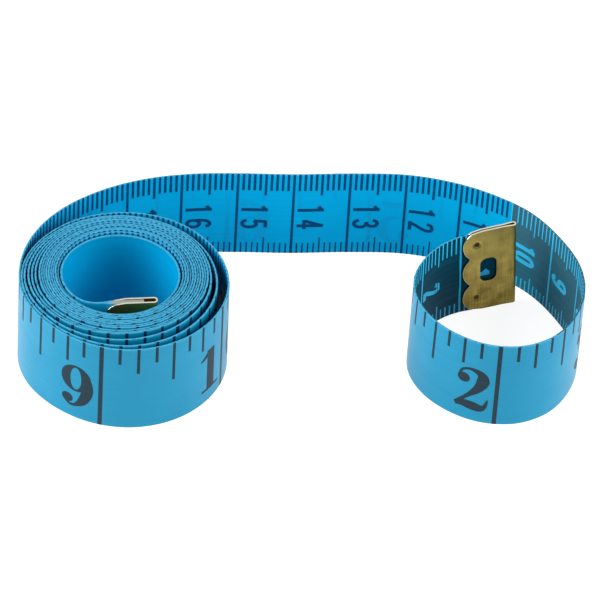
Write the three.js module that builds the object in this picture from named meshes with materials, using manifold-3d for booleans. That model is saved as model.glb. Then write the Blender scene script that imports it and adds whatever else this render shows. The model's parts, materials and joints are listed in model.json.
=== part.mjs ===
// A cloth tape measure standing on its edge. Most of the tape is rolled up, its free end runs out
// behind the roll in a straight stretch and curls round into a loop, and each end of the tape is
// bound by a clip folded from one piece of brass sheet.
// Millimetres, +Z up. The lower edge of the tape stands on z = 0.

import * as THREE from 'three';
import { mergeVertices } from 'three/addons/utils/BufferGeometryUtils.js';
import Module from 'manifold-3d';

// The tape.
const tapeLength = 1500;
const tapeWidth = 18;
const tapeThickness = 0.16;

// The roll, wound inwards from the end of the free route.
const boreRadius = 8.95;
const turnGap = 0.43; // air between one turn and the next
const bulgeHeight = 2.3; // how far the loosest turn stands off the tight ones
const bulgeBearing = 295; // degrees round the roll, where the loose turns stand off most
const bulgeFocus = 4; // a higher number draws the bulge into a shorter arc
const looseTurns = 4; // outer turns that share the slack
const stepsPerTurn = 24;

// The free end, from the bound end of the tape to the place where the roll starts: round the loop,
// along a straight run and round to the roll. The loop's points are measured along x from the end of
// that run and the others from its start. The last point lies past the start of the roll and only
// sets the way that the tape runs there.
const runStart = -2.2; // along x
const runLength = 9.9;
const loopRoute = [
  [29.3, 13.6], [26.0, 12.4], [22.7, 11.2], [19.5, 9.9], [16.5, 6.7], [13.8, 2.6],
  [12.3, -2.1], [12.6, -7.1], [15.3, -12.4], [19.8, -16.4], [25.3, -18.5], [31.2, -18.2],
  [36.3, -15.2], [39.7, -10.2], [41.4, -3.5], [40.8, 3.5], [37.6, 10.7], [32.1, 16.6],
  [25.4, 20.9], [17.9, 23.6], [10.0, 24.8], [0.0, 24.2],
];
const rollRoute = [
  [0.0, 23.0], [-10.0, 22.3], [-17.9, 21.4], [-25.7, 19.4], [-32.9, 16.0], [-39.2, 11.1],
  [-43.4, 5.6], [-45.9, -0.9], [-46.4, -7.9], [-44.4, -14.6],
];
const routeStep = 2; // length of tape between two sections of the free route
const loopReach = 120; // length of tape, from its end, that curls round as the end loop
const stretchGap = 0.3; // cut between two stretches of the tape

// The clips.
const sheetThickness = 0.3;
const clipLength = 9.2; // from the fold to the tips of the scalloped edge
const clipInset = 0.25; // from the tape's edges to the clip's
const seatClearance = 0.3; // between the tape and the brass, and between a clip and the bore
const foldRadius = 0.48; // inside the fold, a little wider than the leaves stand apart
const foldTaper = 1.6; // length over which the leaves close in on the tape
const lobeCount = 3;
const notchDepth = 1.4; // of the scalloped edge, between two lobes
const slotLength = 5.4;
const slotWidth = 3.0;
const slotFromFold = 4.8;
const dimpleDiameter = 1.4;
const dimpleDepth = 0.16;
const dimpleFromTips = 2.9;
const dimpleFromEdge = 3.0;
const kinkRadius = 3; // bend of the tape where it lifts off the bore into its clip
const arcSegments = 8; // facets in each rounded corner of a clip
const kinkSteps = 5;

const mostTurns = 60; // that the roll is tried with

const turn = 2 * Math.PI;
const pitch = tapeThickness + turnGap;
const innerRadius = boreRadius + tapeThickness / 2;
const leafInside = tapeThickness / 2 + seatClearance;
const leafOutside = leafInside + sheetThickness;
const foldOutside = Math.max(foldRadius, leafInside) + sheetThickness;
const clipHeight = tapeWidth - 2 * clipInset;
const boundLength = clipLength - foldOutside + seatClearance; // straight tape inside a clip

// A section of the tape: a point of its middle line and the way that it runs there.
function section(x, y, heading) {
  return { x, y, heading };
}

const freeRoute = [
  ...loopRoute.map(([x, y]) => new THREE.Vector3(runStart + runLength + x, y, 0)),
  ...rollRoute.map(([x, y]) => new THREE.Vector3(runStart + x, y, 0)),
];
const routeCurve = new THREE.CatmullRomCurve3(
  freeRoute,
  false,
  'centripetal',
);
const routeSpans = freeRoute.length - 1;
const spanParts = 60; // parts of each span in which lengths are measured
routeCurve.arcLengthDivisions = routeSpans * spanParts;
const routeLength = routeCurve.getLengths()[(routeSpans - 1) * spanParts];

function routeSection(length) {
  const share = THREE.MathUtils.clamp(length / routeCurve.getLength(), 0, 1);
  const point = routeCurve.getPointAt(share);
  const along = routeCurve.getTangentAt(share);
  return section(point.x, point.y, Math.atan2(along.y, along.x));
}

function routeStretch(from, to) {
  const steps = Math.ceil((to - from) / routeStep);
  const sections = [];
  for (let step = 0; step <= steps; step += 1) {
    sections.push(routeSection(from + ((to - from) * step) / steps));
  }
  return sections;
}

// The roll is a spiral whose outer end carries on from the free route. wound is the angle from there.
const rollStart = routeSection(routeLength);
const startBearing = rollStart.heading - Math.PI / 2;

function rollRadius(wound, turns) {
  const slack = Math.max(0, 1 - wound / (turn * looseTurns)) ** 2;
  const offBulge = startBearing + wound - THREE.MathUtils.degToRad(bulgeBearing);
  const bulge = ((1 + Math.cos(offBulge)) / 2) ** bulgeFocus;
  return innerRadius + pitch * (turns - wound / turn) + bulgeHeight * slack * bulge;
}

// The wound angles of the sections, in even steps back from the inner end to the outer one.
function woundAngles(turns) {
  const step = turn / stepsPerTurn;
  const first = stretchGap / 2 / rollRadius(0, turns);
  const angles = [];
  for (let angle = turns * turn; angle > first + step / 4; angle -= step) {
    angles.unshift(angle);
  }
  return [first, ...angles];
}

function spiralSections(turns) {
  const outerRadius = rollRadius(0, turns);
  const centreX = rollStart.x - outerRadius * Math.cos(startBearing);
  const centreY = rollStart.y - outerRadius * Math.sin(startBearing);
  return woundAngles(turns).map((wound) => {
    const radius = rollRadius(wound, turns);
    const bearing = startBearing + wound;
    const x = centreX + radius * Math.cos(bearing);
    const y = centreY + radius * Math.sin(bearing);
    return section(x, y, bearing + Math.PI / 2);
  });
}

function lengthOf(sections) {
  let length = 0;
  for (let index = 1; index < sections.length; index += 1) {
    const from = sections[index - 1];
    const to = sections[index];
    length += Math.hypot(to.x - from.x, to.y - from.y);
  }
  return length;
}

// The value between low and high at which a rising test first says yes.
function firstTrue(low, high, test) {
  let below = low;
  let above = high;
  for (let pass = 0; pass < 50; pass += 1) {
    const middle = (below + above) / 2;
    if (test(middle)) above = middle;
    else below = middle;
  }
  return above;
}

// How far the kink turns the tape, so that the straight clip stands clear of the round bore.
const kinkAngle = firstTrue(0, Math.PI / 2, (angle) => {
  const kinkCentre = innerRadius - kinkRadius;
  const across = kinkCentre * Math.cos(angle) + kinkRadius + foldOutside;
  const along = boundLength + foldOutside - kinkCentre * Math.sin(angle);
  return Math.hypot(across, along) < boreRadius - seatClearance;
});

// The roll takes as many turns as use up the tape's length.
const rolledLength = tapeLength - routeLength - kinkRadius * kinkAngle - boundLength;
const turns = firstTrue(1, mostTurns, (count) => lengthOf(spiralSections(count)) > rolledLength);

// The last of the tape: off the bore in a short bend, then straight into the clip.
function innerEnd(last) {
  const sections = [];
  const centreX = last.x - kinkRadius * Math.sin(last.heading);
  const centreY = last.y + kinkRadius * Math.cos(last.heading);
  for (let step = 1; step <= kinkSteps; step += 1) {
    const heading = last.heading + (kinkAngle * step) / kinkSteps;
    const x = centreX + kinkRadius * Math.sin(heading);
    const y = centreY - kinkRadius * Math.cos(heading);
    sections.push(section(x, y, heading));
  }
  const bend = sections[sections.length - 1];
  const endX = bend.x + boundLength * Math.cos(bend.heading);
  const endY = bend.y + boundLength * Math.sin(bend.heading);
  sections.push(section(endX, endY, bend.heading));
  return sections;
}

const spiral = spiralSections(turns);
const rollSections = [...spiral, ...innerEnd(spiral[spiral.length - 1])];
const stretchSections = routeStretch(loopReach + stretchGap / 2, routeLength - stretchGap / 2);
const loopSections = routeStretch(0, loopReach - stretchGap / 2);

// A closed strip of tape through its sections, standing on its edge.
function ribbon(sections) {
  const positions = [];
  const indices = [];
  const half = tapeThickness / 2;
  const corners = [[half, 0], [-half, 0], [-half, tapeWidth], [half, tapeWidth]]; // across and up
  const around = corners.length;
  for (const { x, y, heading } of sections) {
    for (const [across, up] of corners) {
      positions.push(x - Math.sin(heading) * across, y + Math.cos(heading) * across, up);
    }
  }
  for (let index = 0; index + 1 < sections.length; index += 1) {
    const first = index * around;
    corners.forEach((corner, place) => {
      const here = first + place;
      const beside = place + 1 < around ? here + 1 : first;
      indices.push(here, beside + around, beside);
      indices.push(here, here + around, beside + around);
    });
  }
  const end = (sections.length - 1) * around;
  indices.push(0, 1, 2, 0, 2, 3);
  indices.push(end, end + 2, end + 1, end, end + 3, end + 2);
  const geometry = new THREE.BufferGeometry();
  geometry.setAttribute('position', new THREE.Float32BufferAttribute(positions, 3));
  geometry.setIndex(indices);
  geometry.computeVertexNormals();
  return geometry;
}

// The least air between two turns, on the sections and on the middles of the facets between them.
function leastTurnGap(sections) {
  const points = [];
  sections.forEach((here, index) => {
    points.push(here);
    const next = sections[index + 1];
    if (next) points.push({ x: (here.x + next.x) / 2, y: (here.y + next.y) / 2 });
  });
  let least = Infinity;
  for (let one = 0; one < points.length; one += 1) {
    for (let other = one + stepsPerTurn; other < points.length; other += 1) {
      const apart = Math.hypot(points[one].x - points[other].x, points[one].y - points[other].y);
      least = Math.min(least, apart - tapeThickness);
    }
  }
  return least;
}

const wasm = await Module();
wasm.setup();

function solidFrom(geometry) {
  const plain = geometry.clone();
  plain.deleteAttribute('normal');
  plain.deleteAttribute('uv');
  const merged = mergeVertices(plain, 1e-4);
  const vertProperties = new Float32Array(merged.attributes.position.array);
  const triVerts = new Uint32Array(merged.index.array);
  return new wasm.Manifold(new wasm.Mesh({ numProp: 3, vertProperties, triVerts }));
}

function geometryFrom(solid) {
  const { vertProperties, triVerts } = solid.getMesh();
  const geometry = new THREE.BufferGeometry();
  geometry.setAttribute('position', new THREE.BufferAttribute(vertProperties, 3));
  geometry.setIndex(new THREE.BufferAttribute(triVerts, 1));
  geometry.computeVertexNormals();
  return geometry;
}

// A clip is drawn with its fold at x = 0, the tape running out along +x between two leaves,
// and the leaf that carries the dents on the +y side.
function hairpin() {
  const closed = foldOutside + foldTaper;
  const profile = new THREE.Shape();
  profile.moveTo(clipLength, leafOutside);
  profile.lineTo(closed, leafOutside);
  profile.lineTo(foldOutside, foldOutside);
  profile.absarc(foldOutside, 0, foldOutside, Math.PI / 2, 1.5 * Math.PI, false);
  profile.lineTo(closed, -leafOutside);
  profile.lineTo(clipLength, -leafOutside);
  profile.lineTo(clipLength, -leafInside);
  profile.lineTo(closed, -leafInside);
  profile.lineTo(foldOutside, sheetThickness - foldOutside);
  profile.absarc(foldOutside, 0, foldOutside - sheetThickness, 1.5 * Math.PI, Math.PI / 2, true);
  profile.lineTo(closed, leafInside);
  profile.lineTo(clipLength, leafInside);
  return new THREE.ExtrudeGeometry(profile, {
    depth: clipHeight,
    bevelEnabled: false,
    curveSegments: arcSegments,
  });
}

// A punch for the leaves: its outline is drawn in x and z and runs through the whole clip along y.
function punch(outline) {
  const depth = 4 * foldOutside;
  const geometry = new THREE.ExtrudeGeometry(outline, {
    depth,
    bevelEnabled: false,
    curveSegments: arcSegments,
  });
  return geometry.rotateX(Math.PI / 2).translate(0, depth / 2, 0);
}

// What the scalloped edge leaves away: everything beyond a row of round lobes.
function scallopPunch() {
  const lobeWidth = clipHeight / lobeCount;
  const lobeRadius = (lobeWidth ** 2 / 4 + notchDepth ** 2) / (2 * notchDepth);
  const halfAngle = Math.asin(lobeWidth / 2 / lobeRadius);
  const beyond = clipLength + notchDepth;
  const outline = new THREE.Shape();
  outline.moveTo(clipLength - notchDepth, -notchDepth);
  outline.lineTo(beyond, -notchDepth);
  outline.lineTo(beyond, clipHeight + notchDepth);
  outline.lineTo(clipLength - notchDepth, clipHeight + notchDepth);
  for (let lobe = lobeCount - 1; lobe >= 0; lobe -= 1) {
    const middle = (lobe + 0.5) * lobeWidth;
    outline.absarc(clipLength - lobeRadius, middle, lobeRadius, halfAngle, -halfAngle, true);
  }
  return punch(outline);
}

function slotPunch() {
  const reach = (slotLength - slotWidth) / 2;
  const middle = clipHeight / 2;
  const outline = new THREE.Shape();
  outline.absarc(slotFromFold, middle + reach, slotWidth / 2, 0, Math.PI, false);
  outline.absarc(slotFromFold, middle - reach, slotWidth / 2, Math.PI, turn, false);
  return punch(outline);
}

// A dent in one leaf, or the bump that the same punch raises on the other: a shallow round cap.
function dimpleCap(height, faceY) {
  const radius = dimpleDiameter / 2;
  const sphere = (radius ** 2 + dimpleDepth ** 2) / (2 * dimpleDepth);
  const points = [new THREE.Vector2(0, -dimpleDepth)];
  for (let step = 0; step <= arcSegments; step += 1) {
    const angle = (Math.asin(radius / sphere) * (arcSegments - step)) / arcSegments;
    const away = sphere * Math.sin(angle);
    const rise = sphere * Math.cos(angle) - sphere + dimpleDepth;
    points.push(new THREE.Vector2(away, rise));
  }
  points.splice(1, 0, new THREE.Vector2(radius, -dimpleDepth));
  points[points.length - 1].x = 0;
  const cap = new THREE.LatheGeometry(points, 2 * arcSegments);
  return cap.rotateX(Math.PI).translate(clipLength - dimpleFromTips, faceY, height);
}

function clipGeometry() {
  let clip = solidFrom(hairpin());
  clip = clip.subtract(solidFrom(scallopPunch()));
  clip = clip.subtract(solidFrom(slotPunch()));
  for (const height of [dimpleFromEdge, clipHeight - dimpleFromEdge]) {
    clip = clip.subtract(solidFrom(dimpleCap(height, leafOutside)));
    clip = clip.add(solidFrom(dimpleCap(height, -leafOutside)));
  }
  return geometryFrom(clip);
}

function cloth() {
  return new THREE.MeshStandardMaterial({ color: 0x1c97cf, roughness: 0.5, metalness: 0 });
}

function brass() {
  return new THREE.MeshStandardMaterial({ color: 0x8c7a42, roughness: 0.4, metalness: 1 });
}

function piece(name, geometry, material) {
  const mesh = new THREE.Mesh(geometry, material);
  mesh.name = name;
  return mesh;
}

// A clip over the end of the tape. heading runs from that end into the tape.
function seatedClip(name, end, heading) {
  const mesh = piece(name, clipGeometry(), brass());
  mesh.position.set(
    end.x - foldOutside * Math.cos(heading),
    end.y - foldOutside * Math.sin(heading),
    clipInset,
  );
  mesh.rotation.z = heading;
  return mesh;
}

const outerEnd = loopSections[0];
const boundEnd = rollSections[rollSections.length - 1];

const part = new THREE.Group();
part.add(piece('tape_roll', ribbon(rollSections), cloth()));
part.add(piece('free_stretch', ribbon(stretchSections), cloth()));
part.add(piece('end_loop', ribbon(loopSections), cloth()));
part.add(seatedClip('start_clip', outerEnd, outerEnd.heading));
part.add(seatedClip('end_clip', boundEnd, boundEnd.heading + Math.PI));

// The origin lies under the middle of the whole object.
const box = new THREE.Box3().setFromObject(part, true);
const middle = box.getCenter(new THREE.Vector3());
part.children.forEach((mesh) => mesh.position.sub(new THREE.Vector3(middle.x, middle.y, box.min.z)));

const stretches = [loopSections, stretchSections, rollSections];
const measuredLength = stretches.reduce((sum, sections) => sum + lengthOf(sections), 2 * stretchGap);
console.log(`tape ${measuredLength.toFixed(1)} mm long, ${turns.toFixed(2)} turns in the roll`);
console.log(`least gap of the roll to itself ${leastTurnGap(rollSections).toFixed(3)} mm`);

export default part;
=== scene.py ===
import json
import math

import bmesh
import bpy
import numpy as np
from mathutils import Matrix, Vector
from mathutils.geometry import delaunay_2d_cdt


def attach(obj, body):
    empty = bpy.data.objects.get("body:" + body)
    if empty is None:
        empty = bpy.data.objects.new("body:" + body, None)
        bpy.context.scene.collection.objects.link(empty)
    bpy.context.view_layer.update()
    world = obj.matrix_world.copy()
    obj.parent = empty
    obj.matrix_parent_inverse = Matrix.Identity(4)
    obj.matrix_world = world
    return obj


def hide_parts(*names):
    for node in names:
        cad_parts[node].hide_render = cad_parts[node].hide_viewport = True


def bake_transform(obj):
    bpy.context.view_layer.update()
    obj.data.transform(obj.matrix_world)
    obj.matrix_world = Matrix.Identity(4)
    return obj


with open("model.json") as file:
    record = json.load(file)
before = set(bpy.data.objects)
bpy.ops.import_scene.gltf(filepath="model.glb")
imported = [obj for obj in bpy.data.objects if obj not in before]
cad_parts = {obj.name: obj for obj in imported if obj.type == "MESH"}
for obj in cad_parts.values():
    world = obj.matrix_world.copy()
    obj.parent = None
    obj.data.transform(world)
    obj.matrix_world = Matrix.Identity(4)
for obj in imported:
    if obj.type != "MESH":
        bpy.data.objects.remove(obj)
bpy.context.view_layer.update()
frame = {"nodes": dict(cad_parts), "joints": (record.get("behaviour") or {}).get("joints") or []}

# a cloth tape measure on its edge: a roll, a straight stretch, an end loop and two brass clips
mm = 0.001
scene = bpy.context.scene
hinges = {joint["name"]: np.array(joint["pos_m"]) / mm for joint in frame["joints"]}
print("frame loaded with", len(frame["nodes"]), "solids")


# shader maths on sockets
def plug(tree, value, socket):
    if isinstance(value, Wire):
        tree.links.new(value.socket, socket)
    else:
        socket.default_value = value


class Wire:
    def __init__(self, tree, socket):
        self.tree = tree
        self.socket = socket

    def maths(self, operation, *values):
        node = self.tree.nodes.new("ShaderNodeMath")
        node.operation = operation
        for value, socket in zip(values, node.inputs):
            plug(self.tree, value, socket)
        return Wire(self.tree, node.outputs[0])

    def __add__(self, other):
        return self.maths("ADD", self, other)

    def __sub__(self, other):
        return self.maths("SUBTRACT", self, other)

    def __rsub__(self, other):
        return self.maths("SUBTRACT", other, self)

    def __mul__(self, other):
        return self.maths("MULTIPLY", self, other)

    def __truediv__(self, other):
        return self.maths("DIVIDE", self, other)

    __radd__ = __add__
    __rmul__ = __mul__

    def sine(self):
        return self.maths("SINE", self)

    def clipped(self):
        return self.maths("MINIMUM", self.maths("MAXIMUM", self, 0.0), 1.0)

    def least(self, other):
        return self.maths("MINIMUM", self, other)

    def out(self, name):
        return Wire(self.tree, self.socket.node.outputs[name])


class Finish:
    def __init__(self, owner):
        self.owner = owner
        self.owner.use_nodes = True
        self.tree = self.owner.node_tree
        self.tree.nodes.clear()

    # any node: its settings first, then the values or links of its sockets
    def node(self, kind, settings=None, sockets=None):
        made = self.tree.nodes.new("ShaderNode" + kind)
        for key, value in (settings or {}).items():
            setattr(made, key, value)
        for key, value in (sockets or {}).items():
            plug(self.tree, value, made.inputs[key])
        return Wire(self.tree, made.outputs[0])

    def mix(self, share, first, second):
        return self.node("Mix", {"data_type": "RGBA"}, {0: share, 6: first, 7: second}).out(2)

    def flat(self, uvName):
        split = self.node("SeparateXYZ", None, {0: self.node("UVMap", {"uv_map": uvName})})
        return split.out("X"), split.out("Y")

    def noise(self, vector, scale, detail=2.0, rough=0.5):
        sockets = {"Vector": vector, "Scale": scale, "Detail": detail, "Roughness": rough}
        return self.node("TexNoise", None, sockets)

    # noise on a flat piece, with its grain drawn out by so much along and across
    def stretched(self, x, y, grain, detail=2.0, rough=0.5):
        place = self.node("CombineXYZ", None, {0: x / grain[0], 1: y / grain[1]})
        return self.noise(place, 1.0, detail, rough)

    def bump(self, strength, distance, height):
        return self.node("Bump", None, {"Strength": strength, "Distance": distance * mm, "Height": height})

    def surface(self, sockets):
        return self.done(self.node("BsdfPrincipled", None, sockets))

    def done(self, shader, kind="Material"):
        end = self.tree.nodes.new("ShaderNodeOutput" + kind)
        self.tree.links.new(shader.socket, end.inputs["Surface"])
        return self.owner


def freshFinish(name):
    return Finish(bpy.data.materials.new(name))


# a colour as it is seen on a screen, 0 to 255, as the linear value that shaders take
def tint(red, green, blue):
    seen = [value / 255 for value in (red, green, blue)]
    return tuple(v / 12.92 if v <= 0.04045 else ((v + 0.055) / 1.055) ** 2.4 for v in seen) + (1.0,)


# the run of the tape
tape = {
    "length": 1500.0,  # mm, from end to end
    "width": 18.0,
    "thickness": 0.35,
    "corner": 0.1,  # rounding of the cut edges
    "pinch": 0.24,  # its thickness inside the clip at the outer end
    "pinchReach": 9.4,
    "doubled": 0.84,  # and inside the other one, where it is turned over
    "doubledReach": 6.1,
    "rise": 0.26,  # how far the inner turns of the roll stand off the floor
    "riseIn": (60.0, 160.0),  # from the start of the roll, where that starts and over what length
    "riseOut": (72.0, 25.0),  # and from the tape's end, where it is over again
    "riseWaves": [(0.3, 17.3, 0), (0.25, 41.0, 1)],  # share, length and shift
    "riseBore": 0.5,  # the share that is left at the bore
    "endLift": 0.25,  # the stiff outer end stands off it too
    "endReach": 25.0,
    "innerLift": 0.4,  # and so does the inner end
    "innerReach": (28.0, 10.0),  # from the end, where that starts and where it is full
    "skew": 0.066,  # the end of the web and its print run a little askew
    "skewReach": 45.0,
    "loopReach": 132.0,  # the end loop, with the start of the straight stretch that bends with it
    "freeStep": 0.5,  # between two sections of the free end
    "rollStep": 0.7,
    "sharpFrom": 0.6,  # radians between two faces
    "tiltHub": 0.75,  # the share of the height that stays in place where the tape leans
    # along the tape, how far the lower edge lies towards the centimetre side of the upper one
    "tilt": [
        (0, 0), (22, 0), (32, -0.22), (44, -0.22), (54, -0.08), (66, 0), (90, 0), (112, 0.5), (166, 0.5),
        (186, 0), (203, 0), (212, -0.22), (222, -0.08), (230, -0.08), (238, -0.22), (260, -0.22), (285, 0),
    ],
    # the solids follow nearly these points; the last one only sets the way the tape runs into the roll
    "route": [
        (36.85, 12.95), (33.6, 11.64), (30.4, 10.35), (27.35, 9.12), (24.15, 6.72), (21.3, 2.8),
        (19.7, -1.9), (20.0, -7.1), (22.8, -12.4), (27.5, -16.4), (33.0, -18.5), (38.9, -18.2),
        (44.0, -15.2), (47.4, -10.2), (49.1, -3.5), (48.35, 3.35), (44.95, 10.3), (39.8, 16.6),
        (33.1, 20.9), (25.6, 23.6), (17.7, 24.8), (7.7, 24.2), (-2.2, 23.0), (-12.2, 22.3),
        (-20.1, 21.4), (-27.9, 19.4), (-35.1, 16.0), (-41.4, 11.1), (-45.6, 5.6), (-48.1, -0.9),
        (-48.6, -7.9), (-47.0, -14.8),
    ],
}
roll = {
    "middle": (-31.1, -5.98),  # on the same plan as the route
    "boreRadius": 9.9,
    "boreShift": (-0.285, -0.42),  # the bore lies off that middle
    "fullTurns": 15,
    "crowding": (0.025, -0.026),  # turns lie looser at the right and at the front
    # and looser by bearing, in degrees
    "slack": [(0, 0), (140, 0), (186, 0.02), (225, 0.025), (260, 0.015), (285, 0), (360, 0)],
    # turns in from the start of the roll, and the extra room between that turn and the next one in
    "room": [
        (0, 0.17), (0.06, 0.13), (0.11, 0.1), (0.15, 0.06), (0.205, 0.15), (0.26, 0.4), (0.316, 0.8),
        (0.37, 1.22), (0.43, 1.52), (0.48, 1.66), (0.57, 1.44), (0.65, 1.18), (0.74, 0.66), (0.86, 0.3),
        (0.95, 0.1), (1, 0.08), (1.06, 0.1), (1.11, 0.14), (1.15, 0.3), (1.205, 0.7), (1.26, 1.05),
        (1.32, 1.15), (1.37, 1.05), (1.43, 0.82), (1.5, 0.52), (1.6, 0.1), (1.7, 0), (1.85, 0.05),
        (2, 0.25), (2.06, 0.34), (2.11, 0.48), (2.15, 0.7), (2.205, 0.95), (2.26, 1.1),
        (2.32, 0.9), (2.37, 0.6), (2.43, 0.36), (2.5, 0.05), (2.6, 0), (2.85, 0.05),
        (3, 0.22), (3.1, 0.17), (3.2, 0.06), (3.28, 0), (3.8, 0), (3.9, 0.05),
        (4, 0.22), (4.1, 0.16), (4.2, 0.04), (4.28, 0), (4.8, 0), (4.9, 0.1),
        (5, 0.28), (5.1, 0.25), (5.2, 0.2), (5.35, 0.1), (5.5, 0), (7.1, 0), (7.25, 0.1), (7.4, 0),
        (10.15, 0), (10.3, 0.08), (10.45, 0), (13.3, 0), (13.55, 0.28), (13.8, 0.28), (14, 0.18), (14.12, 0),
    ],
    "join": 0.3,  # turns over which the roll takes up the end of the route
    "kinkRadius": 5.0,  # where the last of the tape leaves the bore
    "clipChord": 8.0,  # the clip's distance from the roll's middle
    "clipHeading": 8.8,
    "clipRun": 7.86,  # straight tape at the inner end
}


def lengthsOf(points):
    return np.concatenate([[0.0], np.cumsum(np.hypot(*np.diff(points, axis=0).T))])


# one more point at each end, straight on
def withEnds(points):
    knots = np.array(points)
    return np.vstack([2 * knots[0] - knots[1], knots, 2 * knots[-1] - knots[-2]])


# a cubic from b to c that leaves and reaches them at these slopes, without its last point
def cubicSpan(b, c, leave, reach, steps):
    share = np.linspace(0, 1, steps, endpoint=False)[:, None]
    cubic = 2 * b - 2 * c + leave + reach
    square = 3 * c - 3 * b - 2 * leave - reach
    return cubic * share**3 + square * share**2 + leave * share + b


# a centripetal spline through the route, as the solids have it
def routePoints():
    knots = withEnds(tape["route"])
    spans = []
    for a, b, c, d in zip(knots, knots[1:], knots[2:], knots[3:-1]):
        before, here, after = (math.sqrt(np.linalg.norm(q - p)) for p, q in ((a, b), (b, c), (c, d)))
        leave = ((b - a) / before - (c - a) / (before + here) + (c - b) / here) * here
        reach = ((c - b) / here - (d - b) / (here + after) + (d - c) / after) * here
        spans.append(cubicSpan(b, c, leave, reach, 40))
    points = np.vstack([*spans, knots[-3:-2]])
    return points + hinges["free_end_swing"][:2] - points[-1]


def ring(middle, radius, bearing):
    return middle + np.stack([radius * np.cos(bearing), radius * np.sin(bearing)], -1)


# a smooth curve through the rows of a table
def smoothly(x, table):
    places, values = np.array(table).T
    slopes = np.gradient(values, places)
    span = np.clip(np.searchsorted(places, x) - 1, 0, len(places) - 2)
    reach = places[span + 1] - places[span]
    share = np.clip((x - places[span]) / reach, 0, 1)
    start = (1 - share) ** 2 * ((1 + 2 * share) * values[span] + share * reach * slopes[span])
    end = share**2 * ((3 - 2 * share) * values[span + 1] - (1 - share) * reach * slopes[span + 1])
    return start + end


freePoints = routePoints()
freeLength = lengthsOf(freePoints)[-1]
rollMiddle = freePoints[-1] + roll["middle"] - tape["route"][-2]
startRadius = np.linalg.norm(freePoints[-1] - rollMiddle)
startBearing = math.atan2(*(freePoints[-1] - rollMiddle)[::-1])


def boreAt(bearing):
    east, north = roll["boreShift"]
    return roll["boreRadius"] + tape["thickness"] / 2 + east * np.cos(bearing) + north * np.sin(bearing)


wall = roll["boreRadius"]
for attempt in range(6):
    kinkAngle = math.acos((roll["clipChord"] - roll["kinkRadius"]) / (wall - roll["kinkRadius"]))
    kinkBearing = math.radians(roll["clipHeading"] - 90) - kinkAngle
    wall = boreAt(kinkBearing)
rollTurns = roll["fullTurns"] + (kinkBearing - startBearing) / math.tau % 1


# distance from the roll's middle, so many turns in from the start of the roll
def rollRadius(turnsIn, pitch):
    bearing = startBearing + turnsIn * math.tau
    east, north = roll["crowding"]
    spacing = pitch + east * np.cos(bearing) + north * np.sin(bearing)
    spacing += smoothly(np.degrees(bearing) % 360, roll["slack"])
    radius = boreAt(bearing) + (rollTurns - turnsIn) * spacing
    for further in range(roll["fullTurns"]):
        radius += np.clip(smoothly(turnsIn + further, roll["room"]), 0, None)
    return radius + (startRadius - radius[0]) * np.clip(1 - turnsIn / roll["join"], 0, None) ** 2


# the spiral, the bend off the bore and the straight end in its clip
def rollPoints(pitch):
    turnsIn = np.linspace(0, rollTurns, 6000)
    spiral = ring(rollMiddle, rollRadius(turnsIn, pitch), startBearing + turnsIn * math.tau)
    hub = ring(rollMiddle, wall - roll["kinkRadius"], kinkBearing)
    bend = ring(hub, roll["kinkRadius"], kinkBearing + np.linspace(0, kinkAngle, 30))
    run = np.linspace(0, roll["clipRun"], 30)[:, None]
    straight = bend[-1] + run * ring(0, 1, math.radians(roll["clipHeading"]))
    return np.vstack([spiral, bend[1:], straight[1:]])


# the pitch at which the whole tape is as long as it should be
tight, wide = 0.3, 0.6
for attempt in range(40):
    pitch = (tight + wide) / 2
    if freeLength + lengthsOf(rollPoints(pitch))[-1] > tape["length"]:
        wide = pitch
    else:
        tight = pitch
spare = 3.0  # the path starts a little before the tape does
firstStep = freePoints[1] - freePoints[0]
before = freePoints[0] - spare * firstStep / np.linalg.norm(firstStep)
pathPoints = np.vstack([before, freePoints, rollPoints(pitch)[1:]])
pathLengths = lengthsOf(pathPoints) - spare
pathWays = np.unwrap(np.arctan2(*np.gradient(pathPoints, pathLengths, axis=0).T[::-1]))
tapeEnd = pathLengths[-1]
print(f"tape {tapeEnd:.1f} mm, {rollTurns:.2f} turns at a mean pitch of {pitch:.3f} mm")


def pathAt(s):
    x = np.interp(s, pathLengths, pathPoints[:, 0])
    y = np.interp(s, pathLengths, pathPoints[:, 1])
    return x, y, np.interp(s, pathLengths, pathWays)


# 0 to 1, slow at both ends
def softStep(value):
    share = np.clip(value, 0, 1)
    return share**2 * (3 - 2 * share)


# the inner turns of the roll stand a little off the floor, unevenly, and so do both ends of the tape
def riseAt(s):
    start, reach = tape["riseIn"]
    inwards = np.clip((s - freeLength - start) / reach, 0, 1)
    clear, reach = tape["riseOut"]
    outwards = np.clip((tapeEnd - clear - s) / reach, 0, 1)
    uneven = 1 + sum(share * np.sin(s / wave + shift) for share, wave, shift in tape["riseWaves"])
    end = np.clip(1 - s / tape["endReach"], 0, 1) ** 3
    far, near = tape["innerReach"]
    lifted = tape["endLift"] * end + tape["innerLift"] * softStep((s - tapeEnd + far) / (far - near))
    return tape["rise"] * (inwards * outwards * uneven + tape["riseBore"] * inwards) + lifted


def skewAt(s):
    return tape["skew"] * np.clip(1 - s / tape["skewReach"], 0, 1)


# half the tape's thickness, other where it lies in a clip
def halfAt(s):
    pinched = softStep(1 - (s - tape["pinchReach"]))
    doubled = softStep(1 - (tapeEnd - s - tape["doubledReach"]))
    plain = tape["thickness"]
    return (plain + (tape["pinch"] - plain) * pinched + (tape["doubled"] - plain) * doubled) / 2


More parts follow.
